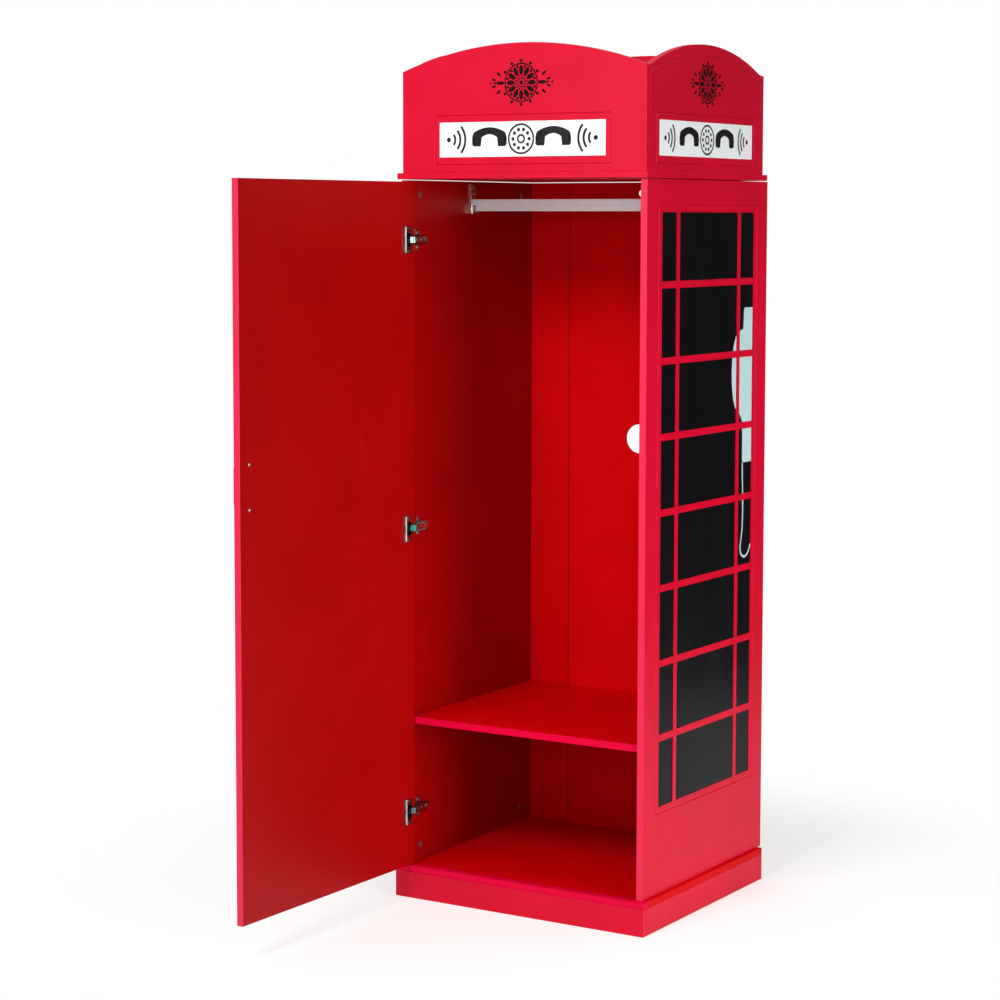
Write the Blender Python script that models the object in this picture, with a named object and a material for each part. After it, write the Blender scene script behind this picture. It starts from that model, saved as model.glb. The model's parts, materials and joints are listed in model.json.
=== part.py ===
"""A wardrobe in the shape of a telephone box, with its single door standing open.

Units are metres and +Z is up. The origin is on the floor at the middle of the plinth,
and the front of the cabinet faces -Y. The door hangs on the left, on three concealed
hinges, and is modelled where it stands when it is open.
"""

import math

import bmesh
import bpy
from mathutils import Matrix, Vector

# ---------------------------------------------------------------- driving dimensions
GAP = 0.0003            # clearance between pieces that touch
EASE = 0.0009           # radius of the eased edges of a board

PLINTH_W = 0.655
PLINTH_D = 0.587
SKIRT_H = 0.061
BASE_T = 0.0144
BOARD = 0.016           # sides, shelf, door, crown and skirt boards

BODY_W = 0.635
BODY_FRONT = -0.2795
BODY_BACK = 0.3058
BODY_TOP = 1.6548

TOP_W = 0.6456
TOP_FRONT = -0.2901
TOP_BACK = 0.2927
TOP_Z = 1.6568          # underside of the top board, a light gap above the sides
TOP_T = 0.0137

CROWN_W = 0.6286
CROWN_FRONT = -0.2791
CROWN_BACK = 0.2856
CROWN_SHOULDER = 1.8980
CROWN_CREST = 1.9542
ARC_STEPS = 24

BACK_FACE = 0.265       # inner face of the back boards
BACK_T = 0.005
BACK_STRIP = 0.108      # width of each outer back board
CABLE_HOLE_R = 0.035
CABLE_HOLE_Z = 1.040
SMALL_HOLE_R = 0.008
SMALL_HOLE_Z = 1.629

SHELF_TOP = 0.4216
SHELF_FRONT = -0.2745

WINDOW_BOTTOM = 0.273
WINDOW_TOP = 1.583
WINDOW_HALF = 0.2225    # half the width of the dark area on a side
DOOR_WINDOW_HALF = 0.247
WINDOW_RIM = 0.004      # red rim of the glazing bars, flush with the board
BAR_W = 0.0156
BAR_PITCH = 0.1664
TOP_BAR_Z = 1.4253
BAR_ROWS = 7
SIDE_PANE_W = 0.0665    # width of the narrow outer panes
DOOR_PANE_W = 0.0740
SHEET_T = 0.0012
BARS_T = 0.0010
GROOVE_R = 0.0016       # half width of the routed lines
GROOVE_MARGIN = 0.016

SIGN_BOTTOM = 1.7050
SIGN_TOP = 1.7823
SIGN_HALF_FRONT = 0.2140
SIGN_HALF_SIDE = 0.2233
SIGN_T = 0.0010
SIGN_LINE_TOP = 1.7975
SIGN_LINE_BOTTOM = 1.6885
SIGN_LINE_MARGIN = 0.0125
CROWN_LINE_SHOULDER = 1.8800
CROWN_LINE_CREST = 1.9280

DOOR_W = 0.633
DOOR_BOTTOM = 0.0780
DOOR_TOP = 1.6510
DOOR_FACE = -0.2818     # inner face of the door when it is shut
DOOR_EDGE = -0.3165     # hinge edge of the door when it is shut
DOOR_OPEN = math.radians(91.0)

ARM_PIN = (-0.29413, -0.27401)   # axis of the link in the hinge arm
CUP_PIN_U = 0.0100               # cup pin: distance from the door's hinge edge
CUP_PIN_V = 0.0020               # and its depth below the door's inner face
LINK_RATIO = -0.865              # turn of the link for each turn of the door
HINGE_Z = (0.2040, 0.8620, 1.5200)
HINGE_NAMES = ("lower", "middle", "upper")
PLATE_LINE = 0.037               # plate screws, back from the front edge of the side
CUP_CENTRE = 0.0225
CUP_R = 0.0175
CUP_DEPTH = 0.0115
CUP_WALL = 0.0010
FLANGE_T = 0.0012
PIN_R = 0.0012
EYE_BORE_R = 0.0015
LINK_HALF_H = 0.0065
LINK_HALF_T = 0.0009
LINK_BENDS = ((0.008, -0.011), (0.019, -0.006))   # curve handles, from the cup pin

HANDLE_Z = 1.008
HANDLE_PITCH = 0.096
HANDLE_INSET = 0.032
HANDLE_OUT = 0.026
HANDLE_R = 0.0055

RAIL_Y = -0.005
RAIL_Z = 1.5995
RAIL_H = 0.0284
RAIL_T = 0.0140
SOCKET_T = 0.0040

CAM_R = 0.0072
CAM_DEPTH = 0.0125
CAM_INSET = 0.034
CAM_Y = (-0.229, 0.214)
PEG_R = 0.0025
PEG_Y = (-0.215, 0.205)
PEG_DEPTH = 0.010
PEG_OUT = 0.009

BASE_TOP = SKIRT_H + GAP + BASE_T
SIDE_X = BODY_W / 2
INNER_X = SIDE_X - BOARD
SIDE_MID_Y = (BODY_FRONT + BODY_BACK) / 2
CROWN_X = CROWN_W / 2
CROWN_MID_Y = (CROWN_FRONT + CROWN_BACK) / 2
CROWN_Z = TOP_Z + TOP_T + GAP

# ---------------------------------------------------------------- scene set-up
for item in list(bpy.data.objects):
    bpy.data.objects.remove(item, do_unlink=True)

PARTS = bpy.data.collections.new("telephone_box_wardrobe")
CUTTERS = bpy.data.collections.new("cutters")
CUTTERS.hide_render = True
for group in (PARTS, CUTTERS):
    bpy.context.scene.collection.children.link(group)


def make_material(name, colour, roughness, metallic=0.0):
    """A Principled BSDF with one colour."""
    material = bpy.data.materials.new(name)
    material.use_nodes = True
    shader = material.node_tree.nodes["Principled BSDF"]
    shader.inputs["Base Color"].default_value = (*colour, 1.0)
    shader.inputs["Roughness"].default_value = roughness
    shader.inputs["Metallic"].default_value = metallic
    material.diffuse_color = (*colour, 1.0)
    return material


RED = make_material("red_lacquer", (0.62, 0.004, 0.022), 0.38)
DARK = make_material("black_pane", (0.006, 0.005, 0.006), 0.22)
WHITE = make_material("white_sign", (0.80, 0.83, 0.82), 0.35)
ALUMINIUM = make_material("aluminium", (0.66, 0.70, 0.76), 0.32, 1.0)
NICKEL = make_material("nickel_steel", (0.58, 0.57, 0.54), 0.24, 1.0)
ZINC = make_material("zinc_casting", (0.42, 0.41, 0.40), 0.40, 1.0)


# ---------------------------------------------------------------- shape helpers
def add_object(name, mesh, material=None, cutter=False):
    """Puts a mesh into the scene as a part, or as a hidden cutter."""
    obj = bpy.data.objects.new(name, mesh)
    if cutter:
        CUTTERS.objects.link(obj)
        obj.hide_render = True
        obj.display_type = "WIRE"
    else:
        PARTS.objects.link(obj)
        mesh.materials.append(material)
    return obj


def ease_edges(shape, amount):
    """Rounds every edge of a bmesh between faces that meet at more than 40 degrees."""
    sharp = [edge for edge in shape.edges
             if len(edge.link_faces) == 2 and edge.calc_face_angle() > math.radians(40)]
    bmesh.ops.bevel(shape, geom=sharp, offset=amount, offset_type="OFFSET", segments=2,
                    profile=0.5, affect="EDGES", clamp_overlap=True)


def box(name, low, high, material=None, cutter=False, ease=0.0):
    """An upright box between two corners, with its origin at its middle."""
    size = [high[i] - low[i] for i in range(3)]
    middle = [(high[i] + low[i]) / 2 for i in range(3)]
    shape = bmesh.new()
    bmesh.ops.create_cube(shape, size=1.0)
    bmesh.ops.scale(shape, vec=size, verts=shape.verts)
    if ease:
        ease_edges(shape, ease)
    mesh = bpy.data.meshes.new(name)
    shape.to_mesh(mesh)
    shape.free()
    obj = add_object(name, mesh, material, cutter)
    obj.location = middle
    return obj


def drum(name, centre, radius, length, axis, material=None, cutter=False, sides=24):
    """A cylinder about a point, along X, Y or Z."""
    turn = {"X": Matrix.Rotation(math.pi / 2, 4, "Y"),
            "Y": Matrix.Rotation(math.pi / 2, 4, "X"),
            "Z": Matrix.Identity(4)}[axis]
    shape = bmesh.new()
    bmesh.ops.create_cone(shape, cap_ends=True, segments=sides, radius1=radius,
                          radius2=radius, depth=length, matrix=turn)
    mesh = bpy.data.meshes.new(name)
    shape.to_mesh(mesh)
    shape.free()
    obj = add_object(name, mesh, material, cutter)
    obj.location = centre
    return obj


def mesh_of(curve_object, ease=0.0):
    """The welded mesh of a curve object, which is then removed."""
    graph = bpy.context.evaluated_depsgraph_get()
    mesh = bpy.data.meshes.new_from_object(curve_object.evaluated_get(graph))
    place = curve_object.matrix_world.copy()
    bpy.data.objects.remove(curve_object, do_unlink=True)
    shape = bmesh.new()
    shape.from_mesh(mesh)
    bmesh.ops.remove_doubles(shape, verts=shape.verts, dist=0.00001)
    bmesh.ops.recalc_face_normals(shape, faces=shape.faces)
    if ease:
        flat = [edge for edge in shape.edges
                if len(edge.link_faces) == 2 and edge.calc_face_angle() < 0.001]
        bmesh.ops.dissolve_edges(shape, edges=flat, use_verts=False)
        ease_edges(shape, ease)
    shape.to_mesh(mesh)
    shape.free()
    mesh.materials.clear()
    return mesh, place


def curve_object(name, splines, closed=True):
    """A poly curve through lists of points, linked so that it can be evaluated."""
    curve = bpy.data.curves.new(name + "_curve", "CURVE")
    for points in splines:
        spline = curve.splines.new("POLY")
        spline.points.add(len(points) - 1)
        for point, place in zip(spline.points, points):
            point.co = (*place, 1.0)
        spline.use_cyclic_u = closed
    obj = bpy.data.objects.new(name + "_curve", curve)
    CUTTERS.objects.link(obj)
    return obj


UPRIGHT_X = Matrix(((1, 0, 0, 0), (0, 0, -1, 0), (0, 1, 0, 0), (0, 0, 0, 1)))
UPRIGHT_Y = Matrix(((0, 0, 1, 0), (1, 0, 0, 0), (0, 1, 0, 0), (0, 0, 0, 1)))


def flat_board(name, splines, thickness, middle, plane, material=None, cutter=False,
               ease=0.0):
    """A board with a flat outline, and holes where the later splines say.

    The outline's two numbers are (x, z) on plane XZ, (y, z) on plane YZ and (x, y) on
    plane XY. The board's thickness is centred on middle, along the third direction.
    """
    outline = curve_object(name, [[(a, b, 0.0) for a, b in points] for points in splines])
    outline.data.dimensions = "2D"
    outline.data.fill_mode = "BOTH"
    outline.data.extrude = thickness / 2
    if plane == "XZ":
        outline.matrix_world = Matrix.Translation((0, middle, 0)) @ UPRIGHT_X
    elif plane == "YZ":
        outline.matrix_world = Matrix.Translation((middle, 0, 0)) @ UPRIGHT_Y
    else:
        outline.matrix_world = Matrix.Translation((0, 0, middle))
    bpy.context.view_layer.update()
    mesh, place = mesh_of(outline, ease)
    obj = add_object(name, mesh, material, cutter)
    obj.matrix_world = place
    return obj


def wire(name, points, radius, material=None, cutter=False, closed=False, resolution=0):
    """A tube of a given radius along a chain of points, as a mesh."""
    path = curve_object(name, [points], closed)
    path.data.dimensions = "3D"
    path.data.bevel_depth = radius
    path.data.bevel_resolution = resolution
    path.data.use_fill_caps = not closed
    bpy.context.view_layer.update()
    mesh, place = mesh_of(path)
    obj = add_object(name, mesh, material, cutter)
    obj.matrix_world = place
    return obj


def combine(obj, other, operation):
    """Applies an exact Boolean and removes the second object."""
    step = obj.modifiers.new(operation.lower(), "BOOLEAN")
    step.operation = operation
    step.object = other
    step.solver = "EXACT"
    bpy.context.view_layer.update()
    graph = bpy.context.evaluated_depsgraph_get()
    mesh = bpy.data.meshes.new_from_object(obj.evaluated_get(graph))
    obj.modifiers.clear()
    obj.data = mesh
    bpy.data.objects.remove(other, do_unlink=True)
    return obj


def cut(obj, *cutters):
    """Takes the cutters away from an object, one after the other."""
    for cutter in cutters:
        combine(obj, cutter, "DIFFERENCE")
    return obj


def join(obj, *others):
    """Joins touching solids into one closed body."""
    for other in others:
        combine(obj, other, "UNION")
    return obj


def rectangle(left, right, bottom, top):
    """The four corners of an upright rectangle, anticlockwise."""
    return [(left, bottom), (right, bottom), (right, top), (left, top)]


def arch(left, right, shoulder, crest, steps=ARC_STEPS):
    """Points along a circular arc from the right shoulder over the crest to the left."""
    half = (right - left) / 2
    rise = crest - shoulder
    radius = (half * half + rise * rise) / (2 * rise)
    sweep = math.asin(half / radius)
    middle = (left + right) / 2
    angles = [sweep - 2 * sweep * i / steps for i in range(steps + 1)]
    return [(middle + radius * math.sin(a), crest - radius + radius * math.cos(a))
            for a in angles]


def on_plane(points, plane, level):
    """Lifts flat (a, b) points to 3-D on an upright plane."""
    if plane == "XZ":
        return [(a, level, b) for a, b in points]
    return [(level, a, b) for a, b in points]


def groove(points, plane, level):
    """A cutter for a routed line along a closed outline on a board's face."""
    return wire("groove", on_plane(points, plane, level), GROOVE_R, cutter=True, closed=True)


# ---------------------------------------------------------------- plinth
def build_plinth():
    """Four skirt boards with butt joints, and a rail under the middle."""
    half_w, half_d = PLINTH_W / 2, PLINTH_D / 2
    box("plinth_front", (-half_w, -half_d, 0), (half_w, -half_d + BOARD, SKIRT_H), RED, ease=EASE)
    box("plinth_back", (-half_w, half_d - BOARD, 0), (half_w, half_d, SKIRT_H), RED, ease=EASE)
    inner = half_d - BOARD - GAP
    for name, side in (("plinth_left", -1), ("plinth_right", 1)):
        edges = sorted((side * half_w, side * (half_w - BOARD)))
        box(name, (edges[0], -inner, 0), (edges[1], inner, SKIRT_H), RED, ease=EASE)
    box("plinth_centre_rail", (-BOARD / 2, -inner, 0), (BOARD / 2, inner, SKIRT_H), RED)
    low = SKIRT_H + GAP
    box("base_board", (-half_w, -half_d, low), (half_w, half_d, BASE_TOP), RED, ease=EASE)


# ---------------------------------------------------------------- windows
def window_holes(half, pane, middle):
    """The panes' outlines: three columns, and a row between each pair of bars."""
    columns = [(-half, -half + pane), (-half + pane + BAR_W, half - pane - BAR_W),
               (half - pane, half)]
    bars = [TOP_BAR_Z - BAR_PITCH * i for i in range(BAR_ROWS)]
    tops = [WINDOW_TOP] + [z - BAR_W / 2 for z in bars]
    bottoms = [z + BAR_W / 2 for z in bars] + [WINDOW_BOTTOM]
    return [rectangle(middle + a, middle + b, low, high)
            for a, b in columns for low, high in zip(bottoms, tops)]


def fit_window(board, name, half, pane, middle, face, outward, plane):
    """Recesses a board's outer face and fills the recess with a sheet and its bars."""
    depth = SHEET_T + BARS_T + 2 * GAP
    rim = half + WINDOW_RIM
    low, high = WINDOW_BOTTOM - WINDOW_RIM, WINDOW_TOP + WINDOW_RIM
    outline = rectangle(middle - rim, middle + rim, low, high)
    inset = rectangle(middle - rim + GAP, middle + rim - GAP, low + GAP, high - GAP)
    cut(board,
        flat_board("recess", [outline], 2 * depth, face, plane, cutter=True),
        groove(rectangle(middle - half - GROOVE_MARGIN, middle + half + GROOVE_MARGIN,
                         WINDOW_BOTTOM - GROOVE_MARGIN, WINDOW_TOP + GROOVE_MARGIN),
               plane, face))
    bars_middle = face - outward * BARS_T / 2
    sheet_middle = face - outward * (BARS_T + GAP + SHEET_T / 2)
    sheet = flat_board("window_sheet_" + name, [inset], SHEET_T, sheet_middle, plane, DARK)
    bars = flat_board("glazing_bars_" + name, [inset] + window_holes(half, pane, middle),
                      BARS_T, bars_middle, plane, RED)
    return sheet, bars


# ---------------------------------------------------------------- cabinet
def build_side(name, side):
    """A side board with its window outside, and cam pockets and peg holes inside."""
    edges = sorted((side * SIDE_X, side * INNER_X))
    board = box("side_panel_" + name, (edges[0], BODY_FRONT, BASE_TOP + GAP),
                (edges[1], BODY_BACK, BODY_TOP), RED, ease=EASE)
    fit_window(board, name, WINDOW_HALF, SIDE_PANE_W, SIDE_MID_Y, side * SIDE_X, side, "YZ")
    levels = {"lower": BASE_TOP + CAM_INSET, "upper": TOP_Z - CAM_INSET}
    for level, z in levels.items():
        for where, y in zip(("front", "rear"), CAM_Y):
            centre = (side * INNER_X, y, z)
            cut(board, drum("pocket", centre, CAM_R + GAP, 2 * (CAM_DEPTH + GAP), "X",
                            cutter=True))
            build_cam(f"cam_{name}_{level}_{where}", side, centre)
    for where, y in zip(("front", "rear"), PEG_Y):
        centre = (side * INNER_X, y, SHELF_TOP - BOARD - GAP - PEG_R)
        cut(board, drum("peg_hole", centre, PEG_R + GAP, 2 * (PEG_DEPTH + GAP), "X",
                        cutter=True, sides=12))
        middle = side * (INNER_X - (PEG_OUT - PEG_DEPTH) / 2)
        drum(f"shelf_peg_{name}_{where}", (middle, y, centre[2]), PEG_R,
             PEG_DEPTH + PEG_OUT, "X", NICKEL, sides=12)


def build_cam(name, side, centre):
    """A cam lock in its pocket, with a cross slot in its face."""
    middle = centre[0] + side * CAM_DEPTH / 2
    cam = drum(name, (middle, centre[1], centre[2]), CAM_R, CAM_DEPTH, "X", ZINC)
    slot_w, slot_l, slot_d = 0.0014, 0.0036, 0.0022
    face = centre[0]
    for half_y, half_z in ((slot_w / 2, slot_l), (slot_l, slot_w / 2)):
        cut(cam, box("slot", (face - slot_d, centre[1] - half_y, centre[2] - half_z),
                     (face + slot_d, centre[1] + half_y, centre[2] + half_z), cutter=True))


def build_back():
    """Three thin back boards side by side, the middle one with its two holes."""
    middle = BACK_FACE + BACK_T / 2
    edge = INNER_X - GAP
    joint = edge - BACK_STRIP
    low, high = BASE_TOP + GAP, BODY_TOP
    spans = {"left": (-edge, -joint - GAP / 2), "centre": (-joint + GAP / 2, joint - GAP / 2),
             "right": (joint + GAP / 2, edge)}
    for name, (left, right) in spans.items():
        board = box("back_panel_" + name, (left, BACK_FACE, low),
                    (right, BACK_FACE + BACK_T, high), RED)
        if name == "centre":
            cut(board,
                drum("hole", (0.001, middle, CABLE_HOLE_Z), CABLE_HOLE_R, 0.05, "Y",
                     cutter=True, sides=48),
                drum("hole", (0.003, middle, SMALL_HOLE_Z), SMALL_HOLE_R, 0.05, "Y",
                     cutter=True))


def build_shelf_and_top():
    """The fixed shelf and the board that carries the crown."""
    edge = INNER_X - GAP
    box("shelf", (-edge, SHELF_FRONT, SHELF_TOP - BOARD), (edge, BACK_FACE - GAP, SHELF_TOP),
        RED, ease=EASE)
    box("top_board", (-TOP_W / 2, TOP_FRONT, TOP_Z), (TOP_W / 2, TOP_BACK, TOP_Z + TOP_T), RED, ease=EASE)


# ---------------------------------------------------------------- crown
def fit_sign(board, name, half, middle, face, outward, plane):
    """Recesses a crown board for its sign plate and routs the line around it."""
    outline = rectangle(middle - half - GAP, middle + half + GAP,
                        SIGN_BOTTOM - GAP, SIGN_TOP + GAP)
    line = rectangle(middle - half - SIGN_LINE_MARGIN, middle + half + SIGN_LINE_MARGIN,
                     SIGN_LINE_BOTTOM, SIGN_LINE_TOP)
    cut(board,
        flat_board("recess", [outline], 2 * (SIGN_T + GAP), face, plane, cutter=True),
        groove(line, plane, face))
    flat_board("sign_plate_" + name,
               [rectangle(middle - half, middle + half, SIGN_BOTTOM, SIGN_TOP)],
               SIGN_T, face - outward * SIGN_T / 2, plane, WHITE)


def crown_outline(left, right):
    """A board with a straight foot and an arched head."""
    return [(left, CROWN_Z), (right, CROWN_Z)] + arch(left, right, CROWN_SHOULDER, CROWN_CREST)


def crown_line(left, right):
    """The routed line under the arch: an arc closed by a straight foot below the sign."""
    return arch(left, right, CROWN_LINE_SHOULDER, CROWN_LINE_CREST)


def build_crown():
    """Four arched boards stood on the top board, open above."""
    for name, face, outward in (("front", CROWN_FRONT, -1), ("back", CROWN_BACK, 1)):
        board = flat_board("crown_" + name, [crown_outline(-CROWN_X, CROWN_X)], BOARD,
                           face - outward * BOARD / 2, "XZ", RED, ease=EASE)
        if name == "front":
            fit_sign(board, name, SIGN_HALF_FRONT, 0.0, face, outward, "XZ")
    low, high = CROWN_FRONT + BOARD + GAP, CROWN_BACK - BOARD - GAP
    for name, side in (("left", -1), ("right", 1)):
        face = side * CROWN_X
        board = flat_board("crown_" + name, [crown_outline(low, high)], BOARD,
                           face - side * BOARD / 2, "YZ", RED, ease=EASE)
        fit_sign(board, name, SIGN_HALF_SIDE, CROWN_MID_Y, face, side, "YZ")
        line = wire("arc_line", on_plane(crown_line(low - 0.01, high + 0.01), "YZ", face),
                    GROOVE_R, cutter=True)
        cut(board, line)


# ---------------------------------------------------------------- hanging rail
def build_rail():
    """An oval rail between two wall sockets."""
    inner = INNER_X - GAP
    end = inner - SOCKET_T - GAP
    steps = 12
    flat = (RAIL_H - RAIL_T) / 2
    lower = [math.pi + math.pi * i / steps for i in range(steps + 1)]
    upper = [math.pi * i / steps for i in range(steps + 1)]
    outline = [(RAIL_Y + RAIL_T / 2 * math.cos(a), RAIL_Z - flat + RAIL_T / 2 * math.sin(a))
               for a in lower]
    outline += [(RAIL_Y + RAIL_T / 2 * math.cos(a), RAIL_Z + flat + RAIL_T / 2 * math.sin(a))
                for a in upper]
    flat_board("hanging_rail", [outline], 2 * end, 0.0, "YZ", ALUMINIUM)
    for name, side in (("left", -1), ("right", 1)):
        build_socket(name, side, inner)


def build_socket(name, side, inner):
    """A rail socket: a wall plate with a cup around the rail's lower half."""
    plate_half, plate_low, plate_high = 0.011, RAIL_Z - 0.019, 1.648
    cup_out, cup_wall, clear = 0.014, 0.002, 0.0006
    wall = side * inner
    edges = sorted((wall, wall - side * SOCKET_T))
    socket = box("rail_socket_" + name, (edges[0], RAIL_Y - plate_half, plate_low),
                 (edges[1], RAIL_Y + plate_half, plate_high), NICKEL)
    depth = RAIL_T / 2 + clear + cup_wall
    cup_edges = sorted((wall - side * SOCKET_T / 2, wall - side * cup_out))
    cup = box("cup", (cup_edges[0], RAIL_Y - depth, plate_low),
              (cup_edges[1], RAIL_Y + depth, RAIL_Z), cutter=True)
    join(socket, cup)
    hollow_edges = sorted((wall - side * SOCKET_T, wall - side * (cup_out + 0.01)))
    hollow = box("hollow", (hollow_edges[0], RAIL_Y - RAIL_T / 2 - clear,
                            RAIL_Z - RAIL_H / 2 - clear),
                 (hollow_edges[1], RAIL_Y + RAIL_T / 2 + clear, RAIL_Z + 0.03), cutter=True)
    cut(socket, hollow)


# ---------------------------------------------------------------- door and hinges
def turned(vector, angle):
    """A flat vector turned clockwise, as seen from above."""
    x, y = vector
    return (x * math.cos(angle) + y * math.sin(angle),
            y * math.cos(angle) - x * math.sin(angle))


CUP_PIN_SHUT = (DOOR_EDGE + CUP_PIN_U, DOOR_FACE - CUP_PIN_V)
LINK_SHUT = (CUP_PIN_SHUT[0] - ARM_PIN[0], CUP_PIN_SHUT[1] - ARM_PIN[1])
LINK_TURN = LINK_RATIO * DOOR_OPEN
LINK_OPEN = turned(LINK_SHUT, LINK_TURN)
CUP_PIN_OPEN = (ARM_PIN[0] + LINK_OPEN[0], ARM_PIN[1] + LINK_OPEN[1])


def pivot(name, place):
    """An empty on a joint's axis, which its pieces are parented to."""
    empty = bpy.data.objects.new(name, None)
    PARTS.objects.link(empty)
    empty.location = (*place, 0.0)
    return empty


def hang(empty, *pieces):
    """Parents pieces to a pivot and keeps them where they are."""
    bpy.context.view_layer.update()
    for piece in pieces:
        piece.parent = empty
        piece.matrix_parent_inverse = empty.matrix_world.inverted()


def build_door():
    """The door as it is when shut, with its window, handle and hinge cups."""
    left, right = DOOR_EDGE, DOOR_EDGE + DOOR_W
    outer = DOOR_FACE - BOARD
    panel = box("door_panel", (left, outer, DOOR_BOTTOM), (right, DOOR_FACE, DOOR_TOP), RED, ease=EASE)
    middle = (left + right) / 2
    sheet, bars = fit_window(panel, "door", DOOR_WINDOW_HALF, DOOR_PANE_W, middle, outer,
                             -1, "XZ")
    pieces = [panel, sheet, bars]
    for name, z in zip(HINGE_NAMES, HINGE_Z):
        centre = (left + CUP_CENTRE, DOOR_FACE, z)
        cut(panel, drum("pocket", centre, CUP_R + GAP, 2 * (CUP_DEPTH + 0.0008), "Y",
                        cutter=True, sides=32))
        pieces.append(build_cup(name, centre))
    pieces += build_handle(panel, right - HANDLE_INSET, outer)
    return pieces


def build_cup(name, centre):
    """A hinge cup: flange, drawn cup and the pin that the link turns on."""
    x, face, z = centre
    front, half = 0.0055, 0.0305
    flange = box("hinge_cup_" + name, (x - 0.0115, face + GAP, z - half),
                 (x + 0.0215, face + GAP + FLANGE_T, z + half), NICKEL)
    bowl = drum("bowl", (x, face + GAP + FLANGE_T / 2 - CUP_DEPTH / 2, z), CUP_R,
                CUP_DEPTH + FLANGE_T, "Y", cutter=True, sides=32)
    join(flange, bowl)
    hollow = drum("hollow", (x, face - CUP_DEPTH / 2 + 0.005 + CUP_WALL, z),
                  CUP_R - CUP_WALL, CUP_DEPTH + 0.010, "Y", cutter=True, sides=32)
    cut(flange, hollow)
    for sign in (-1, 1):
        cut(flange, drum("screw_hole", (x + front, face, z + sign * 0.026), 0.0022, 0.01,
                         "Y", cutter=True, sides=12))
    notch = box("notch", (x - CUP_R - 0.002, face - 0.0055, z - LINK_HALF_H - 0.0008),
                (x - 0.0105, face + 0.0050, z + LINK_HALF_H + 0.0008), cutter=True)
    cut(flange, notch)
    pin = drum("pin", (*CUP_PIN_SHUT, z), PIN_R, 0.0220, "Z", cutter=True, sides=12)
    return join(flange, pin)


def build_link(name, z):
    """A goose-neck strap with an eye at each end, from the cup's pin to the arm's pin.

    Its middle line is a cubic curve that dips into the cup before it climbs to the arm,
    so that it passes around the edge of the door when the door stands open.
    """
    start, end = Vector(CUP_PIN_SHUT), Vector(ARM_PIN)
    bends = [start + Vector(step) for step in LINK_BENDS]
    steps = 16
    path, side = [], []
    for i in range(steps + 1):
        t = i / steps
        s = 1 - t
        path.append(s**3 * start + 3 * s * s * t * bends[0] + 3 * s * t * t * bends[1]
                    + t**3 * end)
        slope = (s * s * (bends[0] - start) + 2 * s * t * (bends[1] - bends[0])
                 + t * t * (end - bends[1])).normalized()
        side.append(Vector((-slope.y, slope.x)))
    outline = [tuple(p + LINK_HALF_T * n) for p, n in zip(path, side)]
    outline += [tuple(p - LINK_HALF_T * n) for p, n in reversed(list(zip(path, side)))]
    strap = flat_board("hinge_link_" + name, [outline], 2 * LINK_HALF_H, z, "XY", NICKEL)
    for eye in (start, end):
        join(strap, drum("eye", (*eye, z), EYE_BORE_R + 0.0010, 2 * LINK_HALF_H, "Z",
                         cutter=True, sides=20))
    for eye in (start, end):
        cut(strap, drum("bore", (*eye, z), EYE_BORE_R, 0.03, "Z", cutter=True, sides=20))
    return strap


def build_arm(name, z):
    """A hinge arm: a channel with two cheeks that hold the link's pin."""
    wall = -INNER_X
    x_low, x_high = wall + 0.0034, wall + 0.0125
    y_front, y_rear = ARM_PIN[1] - 0.0024, -0.226
    half, cheek = 0.0100, 0.0014
    arm = box("hinge_arm_" + name, (x_low, y_front, z - half), (x_high, y_rear, z + half),
              NICKEL)
    inner = half - cheek
    mouth = box("mouth", (x_low - 0.01, y_front - 0.01, z - inner),
                (x_high + 0.01, ARM_PIN[1] + 0.0115, z + inner), cutter=True)
    trough = box("trough", (x_low - 0.01, ARM_PIN[1] + 0.005, z - inner),
                 (x_high - cheek, y_rear + 0.01, z + inner), cutter=True)
    cut(arm, mouth, trough)
    return join(arm, drum("pin", (*ARM_PIN, z), PIN_R, 2 * half - 0.0004, "Z", cutter=True,
                          sides=12))


def build_plate(name, z):
    """A mounting plate: a long foot with two wings, screwed to the side board."""
    wall = -INNER_X + GAP
    line = BODY_FRONT + PLATE_LINE
    foot_t, wing_t = 0.0028, 0.0020
    foot = box("hinge_plate_" + name, (wall, line - 0.014, z - 0.0080),
               (wall + foot_t, line + 0.044, z + 0.0080), NICKEL)
    wings = box("wings", (wall, line - 0.0058, z - 0.0245), (wall + wing_t, line + 0.0058,
                                                             z + 0.0245), cutter=True)
    join(foot, wings)
    for sign in (-1, 1):
        cut(foot, drum("screw_hole", (wall, line, z + sign * 0.016), 0.0026, 0.02, "X",
                       cutter=True, sides=12))
    return foot


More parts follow.
